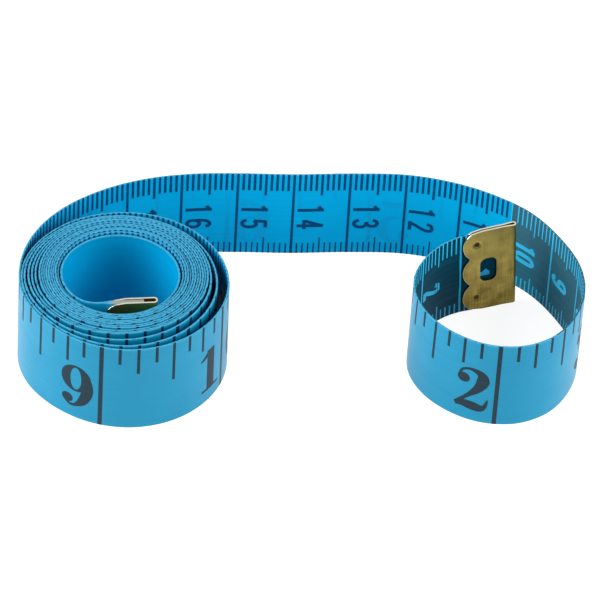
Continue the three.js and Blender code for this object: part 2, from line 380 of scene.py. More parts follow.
# a point of the tape's skin, s along it and h up its face and on round the rim; side 1 has the centimetres
def skin(s, h, side, lift=0.0):
    half, corner, width = halfAt(s), tape["corner"], tape["width"]
    low = h < width / 2
    past = np.where(low, width - h, h) - (width - corner)
    angle = np.clip(past / corner, 0, math.pi / 2)
    over = np.clip(past - corner * math.pi / 2, 0, None)
    away = side * (half - corner + (corner + lift) * np.cos(angle) - over)
    height = width - corner + np.where(past > 0, (corner + lift) * np.sin(angle), past)
    height = np.where(low, width - height, height)
    away += np.interp(s, *np.array(tape["tilt"]).T) * (tape["tiltHub"] - height / width)
    height += riseAt(s)
    x, y, way = pathAt(s + skewAt(s) * (height - width / 2))
    return np.stack([x - np.sin(way) * away, y + np.cos(way) * away, height], -1) * mm


rimRows = [tape["corner"] * (1 - angle) for angle in (math.pi / 2, math.pi / 4, 0)]
rimRows += [tape["width"] - row for row in reversed(rimRows)]


# a mesh piece, with the place of each point on the flat tape
def makePiece(name, points, flats, faces, materials, marks=None):
    mesh = bpy.data.meshes.new(name)
    mesh.from_pydata([tuple(point) for point in points], [], [tuple(face) for face in faces])
    for material in materials:
        mesh.materials.append(material)
    if marks is not None:
        mesh.polygons.foreach_set("material_index", np.array(marks, np.int32))
    corners = np.empty(len(mesh.loops), np.int32)
    mesh.loops.foreach_get("vertex_index", corners)
    layer = mesh.uv_layers.new(name="tapeFlat")
    layer.uv.foreach_set("vector", np.array(flats, np.float32)[corners].ravel())
    shape = bmesh.new()
    shape.from_mesh(mesh)
    bmesh.ops.recalc_face_normals(shape, faces=shape.faces)
    shape.to_mesh(mesh)
    shape.free()
    mesh.polygons.foreach_set("use_smooth", np.ones(len(mesh.polygons), bool))
    mesh.set_sharp_from_angle(angle=tape["sharpFrom"])
    piece = bpy.data.objects.new(name, mesh)
    scene.collection.objects.link(piece)
    return piece


# finishes of the tape
coat = {
    "metric": tint(0, 164, 216),
    "metricDeep": tint(0, 150, 204),
    "metricGloss": (0.42, 0.02),  # roughness and sheen
    "inner": tint(0, 131, 176),  # painted shade of the bore on the inner end, darkest along its upper edge
    # painted light along the lower edge of the inner end
    "boreLowLight": tint(0, 178, 236),
    "innerFrom": (1415.0, 10.0),  # along the tape, where that starts and over what length
    "inch": tint(4, 132, 167),
    "inchDeep": tint(1, 120, 157),
    "inchGloss": (0.36, 0.26),
    "rim": tint(58, 146, 180),
    "rimDeep": tint(6, 84, 126),
    "rimGloss": (0.7, 0.15),
    "wear": (0.45, 0.35),  # reach and strength of the paler edges of the faces
    "web": tint(128, 134, 130),  # the pale web shows where the inner end is turned over
    "streak": (60.0, 0.28),  # mm along and across the tape
    "blotch": (9.0, 6.0),
    "yarnPitch": 0.42,
    "mottle": (1.5, 0.8, 0.06, 0.45),  # parts of streaks, blotches and weave in the deep tone, and its level
    "innerMottle": 0.6,  # share of it under the painted bore shade of the inner end
    "dulling": (0.16, 0.1),  # roughness from blotches and streaks
    "relief": (0.12, 0.03),  # strength, and depth in mm
    "weaveRelief": 0.35,
    "fibres": 4200.0,  # grain of the cut edges
    "specks": 1900.0,
    "speckEdge": (0.52, 5.0),  # level and hardness of the specks
    "rimMottle": (0.75, 0.4),  # parts of specks and fibres in the deep tone
    "rimRelief": (0.4, 0.04),
}


def coatFinish(name, colour, deep, gloss):
    finish = freshFinish(name)
    s, h = finish.flat("tapeFlat")
    streaks = finish.stretched(s, h, coat["streak"], 3.0)
    blotch = finish.stretched(s, h, coat["blotch"], 2.0)
    turn = math.tau / coat["yarnPitch"]
    weave = (s * turn).sine() * (h * turn).sine()
    streaky, blotchy, woven, level = coat["mottle"]
    share = ((streaks - 0.5) * streaky + (blotch - 0.5) * blotchy + weave * woven + level).clipped()
    wearReach, wear = coat["wear"]
    edge = (1 - (h.least(tape["width"] - h) / wearReach)).clipped()
    # the inner end that lines the bore takes painted shade, darkest at the top, with painted light along its
    # lower edge
    innerFrom, innerReach = coat["innerFrom"]
    inner = ((s - innerFrom) / innerReach).clipped()
    boreShading = finish.mix(h / tape["width"], coat["boreLowLight"], coat["inner"])
    boreShading = finish.mix(share * coat["innerMottle"], boreShading, deep)
    body = finish.mix(inner, finish.mix(share, colour, deep), boreShading)
    worn = finish.mix(edge * wear, body, coat["rim"])
    rough, sheen = gloss
    byBlotch, byStreak = coat["dulling"]
    rough = rough + (blotch - 0.5) * byBlotch + (streaks - 0.5) * byStreak
    bump = finish.bump(*coat["relief"], streaks + weave * coat["weaveRelief"])
    sockets = {"Base Color": worn, "Roughness": rough, "Specular IOR Level": sheen, "Normal": bump}
    return finish.surface(sockets)


def rimFinish():
    finish = freshFinish("tapeRim")
    place = finish.node("TexCoord").out("Object")
    fibres = finish.noise(place, coat["fibres"])
    specks = finish.noise(place, coat["specks"], 3.0, 0.6)
    level, hardness = coat["speckEdge"]
    speckled, fibrous = coat["rimMottle"]
    share = ((specks - level) * hardness).clipped() * speckled + (fibres - 0.5) * fibrous
    cut = finish.mix(share.clipped(), coat["rim"], coat["rimDeep"])
    turnedOver = (finish.flat("tapeFlat")[0] - (tape["length"] - tape["doubledReach"])).clipped()
    colour = finish.mix(turnedOver, cut, coat["web"])
    rough, sheen = coat["rimGloss"]
    bump = finish.bump(*coat["rimRelief"], fibres)
    sockets = {"Base Color": colour, "Roughness": rough, "Specular IOR Level": sheen, "Normal": bump}
    return finish.surface(sockets)


metricFace = coatFinish("metricFace", coat["metric"], coat["metricDeep"], coat["metricGloss"])
inchFace = coatFinish("inchFace", coat["inch"], coat["inchDeep"], coat["inchGloss"])
tapeRim = rimFinish()

# the tape itself, one closed strip for each stretch
support = 0.15  # rows that keep the flat faces flat right up to the rim
faceRows = sorted([*rimRows, rimRows[2] + support, rimRows[3] - support])


def makeTape(name, first, last, step):
    count = math.ceil((last - first) / step) + 1
    s, h = np.meshgrid(np.linspace(first, last, count), faceRows, indexing="ij")
    flat = np.stack([s, h], -1)
    points = np.concatenate([skin(s, h, 1), skin(s, h, -1)[:, ::-1]], 1).reshape(-1, 3)
    flats = np.concatenate([flat, flat[:, ::-1]], 1).reshape(-1, 2)
    around = 2 * len(faceRows)
    bandMarks = [2] * around
    for band in range(2, len(faceRows) - 3):
        bandMarks[band] = 0
        bandMarks[around - 2 - band] = 1
    faces, marks = [], []
    for section in range(count - 1):
        base = section * around
        for band in range(around):
            beside = (band + 1) % around
            faces.append((base + band, base + beside, base + around + beside, base + around + band))
            marks.append(bandMarks[band])
    faces.append(tuple(range(around)))
    faces.append(tuple(range((count - 1) * around, count * around)))
    marks += [2, 2]
    return makePiece(name, points, flats, faces, [metricFace, inchFace, tapeRim], marks)


loopEnd = tape["loopReach"]
tapeLoop = makeTape("tapeLoop", 0, loopEnd, tape["freeStep"])
tapeStretch = makeTape("tapeStretch", loopEnd, freeLength, tape["freeStep"])
tapeRoll = makeTape("tapeRoll", freeLength, tapeEnd, tape["rollStep"])
print("tape made:", sum(len(piece.data.polygons) for piece in (tapeLoop, tapeStretch, tapeRoll)), "faces")

# numerals drawn with a pen in a box a hundred units high: strokes, curves and rings through points of
# x, y and pen width, discs of x, y and radius, and ovals with the radii of an outer and an inner ellipse
serifWide, sansWide = 0.62, 0.46
serif = {
    "0": ["oval 31 50 30 50 12 45.5"],
    "1": ["stroke 35 2 20, 35 98 20", "stroke 12 2.5 5, 58 2.5 5", "curve 8 79 3, 19 84 8, 34 95 10"],
    "2": [
        "curve 7 76 5, 13 91 5, 29 96.5 7, 46 89 15, 49.5 72 22, 41 52 16, 24 31 8, 4 7 6",
        "curve 3 5 9, 16 10.5 16, 32 10 20, 47 8 17, 55.5 14 8, 59.5 30 3",
        "disc 15.5 72.5 11.2",
    ],
    "3": [
        "curve 15 80 5, 20 92 5, 31 96.5 6, 44 88 15, 46.5 74 19, 39 60 11, 25 52 4.5",
        "curve 25 52 4.5, 39 50 9, 50.5 38 18, 51 22 20, 40 6 10, 28 3.2 5, 13 14 5",
        "disc 22 76.5 10, 19 20 10.5",
    ],
    "4": [
        "stroke 43 2 18, 43 97 18",
        "stroke 42 96 5, 3 27 5",
        "stroke 1 26 6, 62 26 6",
        "stroke 26 2.5 5, 60 2.5 5",
    ],
    "5": [
        "stroke 12 94 4.5, 10 50 4.5",
        "curve 11 93 10, 28 89.5 16, 42 91 13, 55 98 5",
        "curve 10 50 5, 23 60 6, 40 57.5 13, 50 43 19, 50 24 20, 39 6.5 10, 24 3.2 5, 8 13 5",
        "disc 13.5 19 10.5",
    ],
    "7": [
        "curve 4 68 3, 7 83 9, 20 89 19, 37 86 18, 58 95 7",
        "curve 58 95 5, 43 64 9, 32 38 16, 28 11 22",
        "disc 28 11 11",
    ],
    "8": ["oval 31 75.5 23 24.5 10 20, 31 27.5 30 27.5 12.5 22.5"],
    "9": [
        "curve 50 78 10, 52.5 60 16, 50 40 20, 42 19 17, 30 6 8, 18 3.5 5.5, 6 13 5",
        "oval 29 69 28.5 31 10.5 26.2",
        "disc 13.5 17.5 10.8",
    ],
}
sans = {
    "0": ["ring 23 93, 9 80, 7 50, 9 20, 23 7, 37 20, 39 50, 37 80"],
    "1": ["stroke 28 0, 28 100", "stroke 30 94, 11 79"],
    "2": ["stroke 2 7, 43 7", "curve 7.5 72, 11.5 87, 24 93, 36 87, 38.5 70, 31 50, 18 27, 9 7"],
    "3": [
        "curve 7 76, 12 89, 23.5 93, 35 86, 35.5 67, 26 55, 16 53",
        "curve 16 53, 30 50, 39 38, 38 18, 28 7, 15 8.5, 7 24",
    ],
    "4": ["stroke 31 0, 31 100", "stroke 31 94, 7 29", "stroke 2 28, 46 28"],
    "5": [
        "stroke 40 93, 8 93",
        "stroke 12 96, 9.5 50",
        "curve 9.5 50, 20 58.5, 33 55, 39 40, 38 19, 28 7, 14 8.5, 7 22",
    ],
    "6": [
        "curve 37 78, 32 90, 21.5 93, 11 82, 7.5 60, 7.5 30",
        "ring 23 55, 10 45, 7.5 30, 11 14, 23 7, 35 14, 39 30, 35.5 47",
    ],
    "7": ["stroke 4 93, 43 93", "curve 38 95, 31 68, 24 35, 20 0"],
    "8": [
        "ring 23 93, 11 86, 11 65, 23 54, 35 65, 35 86",
        "ring 23 54, 9 42, 8.5 18, 23 7, 37.5 18, 37 42",
    ],
}


# each numeral as kinds and points, in a box one unit high
def runsOf(font):
    made = {}
    for digit, glyph in font.items():
        made[digit] = []
        for line in glyph:
            kind, places = line.split(" ", 1)
            points = [tuple(float(part) / 100 for part in place.split()) for place in places.split(",")]
            made[digit].append((kind, points))
    return made


# half a turn makes a six of a nine, and the other way round
def turned(runs, wide):
    return [(kind, [(wide - x, 1 - y, *rest) for x, y, *rest in points]) for kind, points in runs]


serifRuns, sansRuns = runsOf(serif), runsOf(sans)
serifRuns["6"] = turned(serifRuns["9"], serifWide)
sansRuns["9"] = turned(sansRuns["6"], sansWide)


# a smooth run through pen points
def eased(points, closed):
    knots = np.array([points[-1], *points, *points[:2]]) if closed else withEnds(points)
    spans = []
    for a, b, c, d in zip(knots, knots[1:], knots[2:], knots[3:]):
        spans.append(cubicSpan(b, c, (c - a) / 2, (d - b) / 2, 7))
    return np.vstack(spans if closed else [*spans, knots[-2:-1]])


def penSides(run, closed):
    spots = run[:, :2]
    ahead = np.roll(spots, -1, 0) - np.roll(spots, 1, 0) if closed else np.gradient(spots, axis=0)
    ahead /= np.linalg.norm(ahead, axis=1)[:, None]
    reach = np.stack([-ahead[:, 1], ahead[:, 0]], 1) * run[:, 2:] / 2
    return spots + reach, spots - reach


def areaOf(outline):
    x, y = outline.T
    return (x * np.roll(y, -1) - y * np.roll(x, -1)).sum() / 2


# closed outlines of a numeral, each with 1 where it adds ink and -1 where it is a hole
def glyphOutlines(runs, pen):
    outlines = []
    circle = ring(0, 1, np.linspace(0, math.tau, 24, endpoint=False))
    for kind, points in runs:
        penned = [(*point, pen)[:3] for point in points]
        if kind in ("stroke", "curve"):
            left, right = penSides(np.array(penned) if kind == "stroke" else eased(penned, False), False)
            outlines.append((np.vstack([left, right[::-1]]), 1))
        elif kind == "ring":
            sides = sorted(penSides(eased(penned, True), True), key=lambda side: -abs(areaOf(side)))
            outlines += [(sides[0], 1), (sides[1], -1)]
        elif kind == "oval":
            for x, y, *radii in points:
                outlines += [(circle * radii[:2] + (x, y), 1), (circle * radii[2:] + (x, y), -1)]
        else:
            outlines += [(circle * radius + (x, y), 1) for x, y, radius in points]
    return outlines


def insideOf(spots, outline):
    x, y = spots[:, :1], spots[:, 1:]
    fromX, fromY = outline.T
    toX, toY = np.roll(outline, -1, 0).T
    crosses = (fromY > y) != (toY > y)
    flatRise = np.where(toY == fromY, 1, toY - fromY)
    before = x < (toX - fromX) * (y - fromY) / flatRise + fromX
    return (crosses & before).sum(1) % 2 == 1


# triangles that fill outlines, also cut along straight lines so that they can bend round the tape
def filled(outlines, cuts):
    spots, edges = [], []
    for outline, _ in outlines:
        start = len(spots)
        spots += [tuple(spot) for spot in outline]
        edges += [(start + i, start + (i + 1) % len(outline)) for i in range(len(outline))]
    for cut in cuts:
        edges += [(len(spots) + i, len(spots) + i + 1) for i in range(len(cut) - 1)]
        spots += [tuple(spot) for spot in cut]
    found, _, triangles, *_ = delaunay_2d_cdt([Vector(spot) for spot in spots], edges, [], 0, 1e-6)
    found = np.array([tuple(spot) for spot in found])
    triangles = np.array([tuple(triangle) for triangle in triangles])
    centres = found[triangles].mean(1)
    ink = sum(sign * insideOf(centres, outline).astype(int) for outline, sign in outlines)
    return found, triangles[ink > 0]


# numerals as flat triangles, cut across the way that the tape bends
def glyphsOf(runs, cutAxis, cutStep, pen=0.1):
    made = {}
    for digit in "0123456789":
        cuts = []
        for place in np.arange(cutStep, 1, cutStep):
            ends = np.array([[place, -0.1], [place, 1.1]])
            cuts.append(ends if cutAxis == 0 else ends[:, ::-1])
        made[digit] = filled(glyphOutlines(runs[digit], pen), cuts)
    return made


serifGlyphs = glyphsOf(serifRuns, cutAxis=0, cutStep=0.065)
darkGlyphs = glyphsOf(sansRuns, cutAxis=1, cutStep=0.13, pen=0.14)
lightGlyphs = glyphsOf(sansRuns, cutAxis=1, cutStep=0.13, pen=0.19)
print("numerals drawn:", len(serifGlyphs) + len(darkGlyphs) + len(lightGlyphs))

# the print, as thin plates of ink on the tape's skin
scales = {
    "ink": 0.013,  # mm that the ink stands off the skin
    "root": -0.004,  # and reaches into it
    "rimTurns": (0.9, 1.15),  # radians that marks run on round the lower and the upper rim
    "metricTop": (3.66, 4.7),  # marks from the upper edge: each millimetre, each fifth
    "metricLow": (2.4, 3.6),
    "metricPens": (0.45, 0.26, 0.46),  # upper marks, lower marks, centimetre lines
    "metricHeight": 4.75,  # numerals, along the tape
    "metricAdvance": 3.45,
    "metricMiddle": 9.55,  # below the upper edge
    "metricGap": 0.8,
    "metricShift": -0.6,  # both scales start from the fold of the clip
    "lightShift": (-0.22, -0.98),  # from the start to the end of the dark film
    "lightPens": (0.27, 0.28, 0.4),
    "lightAdvance": 2.65,
    "metricLast": 1422,  # the rest is bare
    "inchClear": 12,  # bare end of the inch scale
    "deepReach": 0.8,  # marks of the inner turns, of which only the rims show
    "filmLast": 100,  # the first centimetres are printed light on dark
    "filmClear": 0.5,  # other print keeps off it
    "filmOver": (60, 0.16),  # from here on the film reaches this far over the upper rim
    "inchStep": 25.4,
    "inchShift": -1.4,
    "inchMarks": {1: 3.4, 2: 5.5, 4: 8.3},  # eighths, quarters and halves
    "inchPens": (0.52, 0.75),
    "inchHeight": 9.5,
    "inchWiden": 1.08,
    "inchBase": 2.5,  # from the lower edge
    "inchGap": 1.2,  # from a numeral to its line
    "inchNext": 2.7,  # and from the line to a second digit
    "openTurns": 640,  # as far along as the faces of the turns show
    "ghostClear": 20,  # the roll hides the last of the print that shows through
    "barStep": 0.6,  # between two columns of a bar
}
lowEnd, topEnd = (tape["corner"] * (1 - turn) for turn in scales["rimTurns"])
topEnd = tape["width"] - topEnd


# a rectangle of print, in columns that follow the tape round
def bar(s, pen, low, high):
    columns = np.linspace(s - pen / 2, s + pen / 2, max(2, math.ceil(pen / scales["barStep"]) + 1))
    rows = [low, *[row for row in rimRows if low < row < high], high]
    spots = np.array([(column, row) for column in columns for row in rows])
    faces = []
    for column in range(len(columns) - 1):
        for row in range(len(rows) - 1):
            corner = column * len(rows) + row
            faces.append((corner, corner + 1, corner + len(rows) + 1, corner + len(rows)))
    return spots, faces


def metricNumber(number, line, glyphs, advance):
    digits = str(number)
    high = scales["metricHeight"]
    across = sansWide * high + advance * (len(digits) - 1)
    top = tape["width"] - scales["metricMiddle"] + across / 2
    shapes = []
    for place, digit in enumerate(digits):
        spots, faces = glyphs[digit]
        s = line - scales["metricGap"] - spots[:, 1] * high
        h = top - place * advance - spots[:, 0] * high
        shapes.append((np.stack([s, h], 1), faces))
    return shapes


# a second digit stands past the line, so the line parts the two
def inchNumber(number, line):
    shapes = []
    high = scales["inchHeight"]
    wide = high * scales["inchWiden"]
    for place, digit in enumerate(str(number)):
        spots, faces = serifGlyphs[digit]
        if place == 0:
            s = line - scales["inchGap"] - (serifWide - spots[:, 0]) * wide
        else:
            s = line + scales["inchNext"] + spots[:, 0] * wide
        shapes.append((np.stack([s, scales["inchBase"] + spots[:, 1] * high], 1), faces))
    return shapes


# a mark from the upper edge and one from the lower edge
def shortMarks(mark, s, topPen, lowPen):
    fifth = mark % 5 == 0
    top = bar(s, topPen, tape["width"] - scales["metricTop"][fifth], topEnd)
    return [top, bar(s, lowPen, lowEnd, scales["metricLow"][fifth])]


def metricShapes(first, last):
    shapes = []
    topPen, lowPen, linePen = scales["metricPens"]
    for mark in range(1, math.ceil(last) + 1):
        s = mark + scales["metricShift"]
        if not first <= s < last:
            continue
        if mark > scales["openTurns"]:
            shapes.append(bar(s, topPen, tape["width"] - scales["deepReach"], topEnd))
        elif mark % 10:
            shapes += shortMarks(mark, s, topPen, lowPen)
        else:
            shapes.append(bar(s, linePen, lowEnd, topEnd))
            shapes += metricNumber(mark // 10, s, darkGlyphs, scales["metricAdvance"])
    return shapes


# the light print of the first centimetres, with the line where the dark film ends
def lightShapes(filmEnd):
    topPen, lowPen, linePen = scales["lightPens"]
    shapes = [bar(filmEnd, linePen / 2, lowEnd, topEnd)]
    for mark in range(1, scales["filmLast"] + 1):
        s = mark + np.interp(mark, (0, scales["filmLast"]), scales["lightShift"])
        if mark % 10:
            shapes += shortMarks(mark, s, topPen, lowPen)
            continue
        shapes += metricNumber(mark // 10, s, lightGlyphs, scales["lightAdvance"])
        if mark < scales["filmLast"]:
            shapes.append(bar(s, linePen, lowEnd, topEnd))
    return shapes


# marks from first to last; a numeral belongs to the piece that it starts in
def inchShapes(first, last):
    shapes = []
    markPen, linePen = scales["inchPens"]
    numeral = scales["inchGap"] + serifWide * scales["inchHeight"] * scales["inchWiden"]
    for eighth in range(1, int((last / scales["inchStep"] + 2) * 8)):
        s = eighth * scales["inchStep"] / 8 + scales["inchShift"]
        whole = eighth % 8 == 0
        if whole and first <= s - numeral < last and s < scales["openTurns"]:
            shapes += inchNumber(eighth // 8, s)
        if not first <= s < last:
            continue
        if whole:
            shapes.append(bar(s, linePen, lowEnd, topEnd))
        else:
            reach = next(scales["inchMarks"][part] for part in (4, 2, 1) if eighth % part == 0)
            reach = scales["deepReach"] if s > scales["openTurns"] else reach
            shapes.append(bar(s, markPen, tape["width"] - reach, topEnd))
    return shapes


# a closed plate under these faces: the same ones turned over, count points further on, and walls
def plateFaces(tops, count):
    openEdges = {}
    for face in tops:
        for edge in zip(face, face[1:] + face[:1]):
            if edge[::-1] in openEdges:
                del openEdges[edge[::-1]]
            else:
                openEdges[edge] = True
    unders = [tuple(i + count for i in reversed(face)) for face in tops]
    return tops + unders + [(b, a, a + count, b + count) for a, b in openEdges]


# a plate of ink: the shapes on the skin, a foot just inside it, and walls between the two
def inkPlate(name, shapes, side, material, lift=scales["ink"]):
    spots = np.vstack([shape[0] for shape in shapes])
    tops = []
    start = 0
    for shapeSpots, shapeFaces in shapes:
        tops += [tuple(int(i) + start for i in face) for face in shapeFaces]
        start += len(shapeSpots)
    upper = skin(spots[:, 0], spots[:, 1], side, lift)
    lower = skin(spots[:, 0], spots[:, 1], side, scales["root"])
    faces = plateFaces(tops, len(spots))
    used = sorted({i for face in faces for i in face})
    index = {old: new for new, old in enumerate(used)}
    points = np.vstack([upper, lower])[used]
    flats = np.vstack([spots, spots])[used]
    faces = [tuple(index[i] for i in face) for face in faces]
    return makePiece(name, points, flats, faces, [material])


inks = {  # full ink, thin ink, sheen, and how much of it is thin
    "metric": (tint(2, 58, 100), tint(0, 84, 134), 0.05, 0.2),
    "inch": (tint(24, 40, 48), tint(12, 62, 86), 0.16, 0.15),
    # the film's thin colour also carries painted light along its length and at its lower edge
    "film": (tint(0, 55, 73), tint(54, 91, 106), 0.03, -0.14),
    "light": (tint(44, 178, 222), tint(18, 138, 188), 0.12, 0.18),
    "ghost": (tint(0, 146, 200), tint(0, 154, 208), 0.05, 0.4),
}
gapShadeInk = tint(0, 34, 66)  # painted shade: marks on the inner turns of the roll take the blue-black of the shaded gaps between turns
gapShadeFrom = freeLength + math.tau * startRadius
gapShadeOver = 10.0  # mm over which the painted shade comes in
filmLowLight = tint(38, 104, 124)  # painted light: the thin film is lighter along its lower edge
filmLightening = 0.011  # and painted light: its share of the thin colour grows by so much with each mm from the end
inkStreak = (20.0, 0.3)  # mm along and across the tape
inkGrain = (1 / 6, 1 / 6)
inkMottle = (1.1, 1.2)  # parts of streaks and grain in the thin ink
inkRough = (0.45, 0.15)  # full ink, and what thin ink adds
inkRelief = (0.15, 0.02)


def inkFinish(name, colour, thin, sheen, amount, lightening=0.0, deep=None, low=None):
    finish = freshFinish(name)
    s, h = finish.flat("tapeFlat")
    streaks = finish.stretched(s, h, inkStreak, 3.0)
    grain = finish.stretched(s, h, inkGrain, 3.0, 0.6)
    streaky, grainy = inkMottle
    # on the film, the share grows along it as painted light
    share = ((streaks - 0.5) * streaky + (grain - 0.5) * grainy + amount + s * lightening).clipped()
    # painted light, lighter towards the lower edge
    if low:
        thin = finish.mix(h / tape["width"], low, thin)
    inked = finish.mix(share, colour, thin)
    # painted shade on the marks of the inner turns
    if deep:
        inked = finish.mix(((s - gapShadeFrom) / gapShadeOver).clipped(), inked, deep)
    rough = inkRough[0] + share * inkRough[1]
    bump = finish.bump(*inkRelief, grain)
    sockets = {"Base Color": inked, "Roughness": rough, "Specular IOR Level": sheen, "Normal": bump}
    return finish.surface(sockets)


metricInk = inkFinish("metricInk", *inks["metric"])
inchInk = inkFinish("inchInk", *inks["inch"], deep=gapShadeInk)
darkFilm = inkFinish("darkFilm", *inks["film"], filmLightening, low=filmLowLight)
lightMark = inkFinish("lightMark", *inks["light"])
ghostInk = inkFinish("ghostInk", *inks["ghost"])

filmEnd = scales["filmLast"] + scales["metricShift"]
pastFilm = filmEnd + scales["filmClear"]
thick = 2 * scales["ink"]
overFrom, over = scales["filmOver"]
film = [
    bar(overFrom / 2, overFrom, lowEnd, topEnd),
    bar((overFrom + filmEnd) / 2, filmEnd - overFrom, lowEnd, rimRows[-1] + over),
]
loopFilm = inkPlate("loopFilm", film, 1, darkFilm)
loopLight = inkPlate("loopLightMarks", lightShapes(filmEnd), 1, lightMark, thick)
loopMetric = inkPlate("loopMetricInk", metricShapes(pastFilm, loopEnd), 1, metricInk, thick)
loopInch = inkPlate("loopInchInk", inchShapes(0, loopEnd), -1, inchInk)
# the inch scale shows through faintly on the other face
loopGhost = inkPlate("loopShowThrough", inchShapes(pastFilm, loopEnd), 1, ghostInk)
ghostShapes = inchShapes(loopEnd, freeLength - scales["ghostClear"])
stretchGhost = inkPlate("stretchShowThrough", ghostShapes, 1, ghostInk)
stretchMetric = inkPlate("stretchMetricInk", metricShapes(loopEnd, freeLength), 1, metricInk, thick)
stretchInch = inkPlate("stretchInchInk", inchShapes(loopEnd, freeLength), -1, inchInk)
rollMetric = inkPlate("rollMetricInk", metricShapes(freeLength, scales["metricLast"]), 1, metricInk)
rollInch = inkPlate("rollInchInk", inchShapes(freeLength, tapeEnd - scales["inchClear"]), -1, inchInk)
print("print laid:", len(rollMetric.data.polygons) + len(rollInch.data.polygons), "faces on the roll")

# a clip, cut flat from brass sheet and folded over the end of the tape
clip = {
    "sheet": 0.28,
    "startLength": 10.1,  # fold to tips
    "endLength": 9.25,
    "height": 18.6,
    "lobes": 3,
    "notch": 1.4,
    "cornerReach": 3.7,  # how far back the outer lobes round off
    "slot": (3.1, 5.4, 1.25),  # width, height and the radius of its corners
    "slotFromFold": 5.3,
    "slotWall": 0.1,  # walls so near to the slot's ends belong to it
    "dent": 0.85,  # radius
    "dentDepth": 0.2,
    "dentCurve": 0.7,  # below 1 for a flatter floor and steeper walls
    "dentShade": 0.65,  # share of it that takes painted shade
    "dentFromTips": 2.65,
    "dentFromEdge": 3.0,
    "startFold": 0.4,  # radius of the sheet's middle round the fold
    "endFold": 0.58,
    "taper": 2.2,  # length over which the leaves close on the tape
    "seat": 0.02,
    "rimRound": 0.06,
    "sharpFrom": 0.7,  # radians between two faces
    "skew": 0.047,  # of the one at the outer end
    "startPast": 0.8,  # from the fold to the end of the tape inside it
    "endPast": 2.4,
    "raised": 0.27,  # above the middle of the tape
}


# the sheet's middle line, from the middle of the fold along one leaf: lengths, x and y
def leafLine(radius, inside, length):
    hub = clip["sheet"] / 2 + radius
    leaf = inside / 2 + clip["seat"] + clip["sheet"] / 2
    turnBy = np.linspace(0, math.pi / 2, 16)
    x = hub - radius * np.cos(turnBy)
    y = radius * np.sin(turnBy)
    share = np.linspace(0, 1, 20)[1:]
    x = np.concatenate([x, hub + share * clip["taper"], [length]])
    y = np.concatenate([y, leaf + (radius - leaf) * (1 + np.cos(share * math.pi)) / 2, [leaf]])
    return lengthsOf(np.stack([x, y], 1)), x, y


# the scalloped end of one leaf, from the lower edge to the upper one
def scallops(leafLength):
    high = clip["height"]
    lobe = high / clip["lobes"]
    radius = (lobe**2 / 4 + clip["notch"] ** 2) / (2 * clip["notch"])
    half = math.asin(lobe / 2 / radius)
    spots = []
    for index in range(clip["lobes"]):
        for angle in np.linspace(-half, half, 15):
            u = leafLength - radius + radius * math.cos(angle)
            z = (index + 0.5) * lobe + radius * math.sin(angle)
            outer = (index == 0 and angle < 0) or (index == clip["lobes"] - 1 and angle > 0)
            if outer:  # the outer corners round off further
                share = abs(angle) / half
                u = leafLength - clip["cornerReach"] * (1 - math.sqrt(1 - share**2))
            spots.append((u, z))
    return np.array(spots)


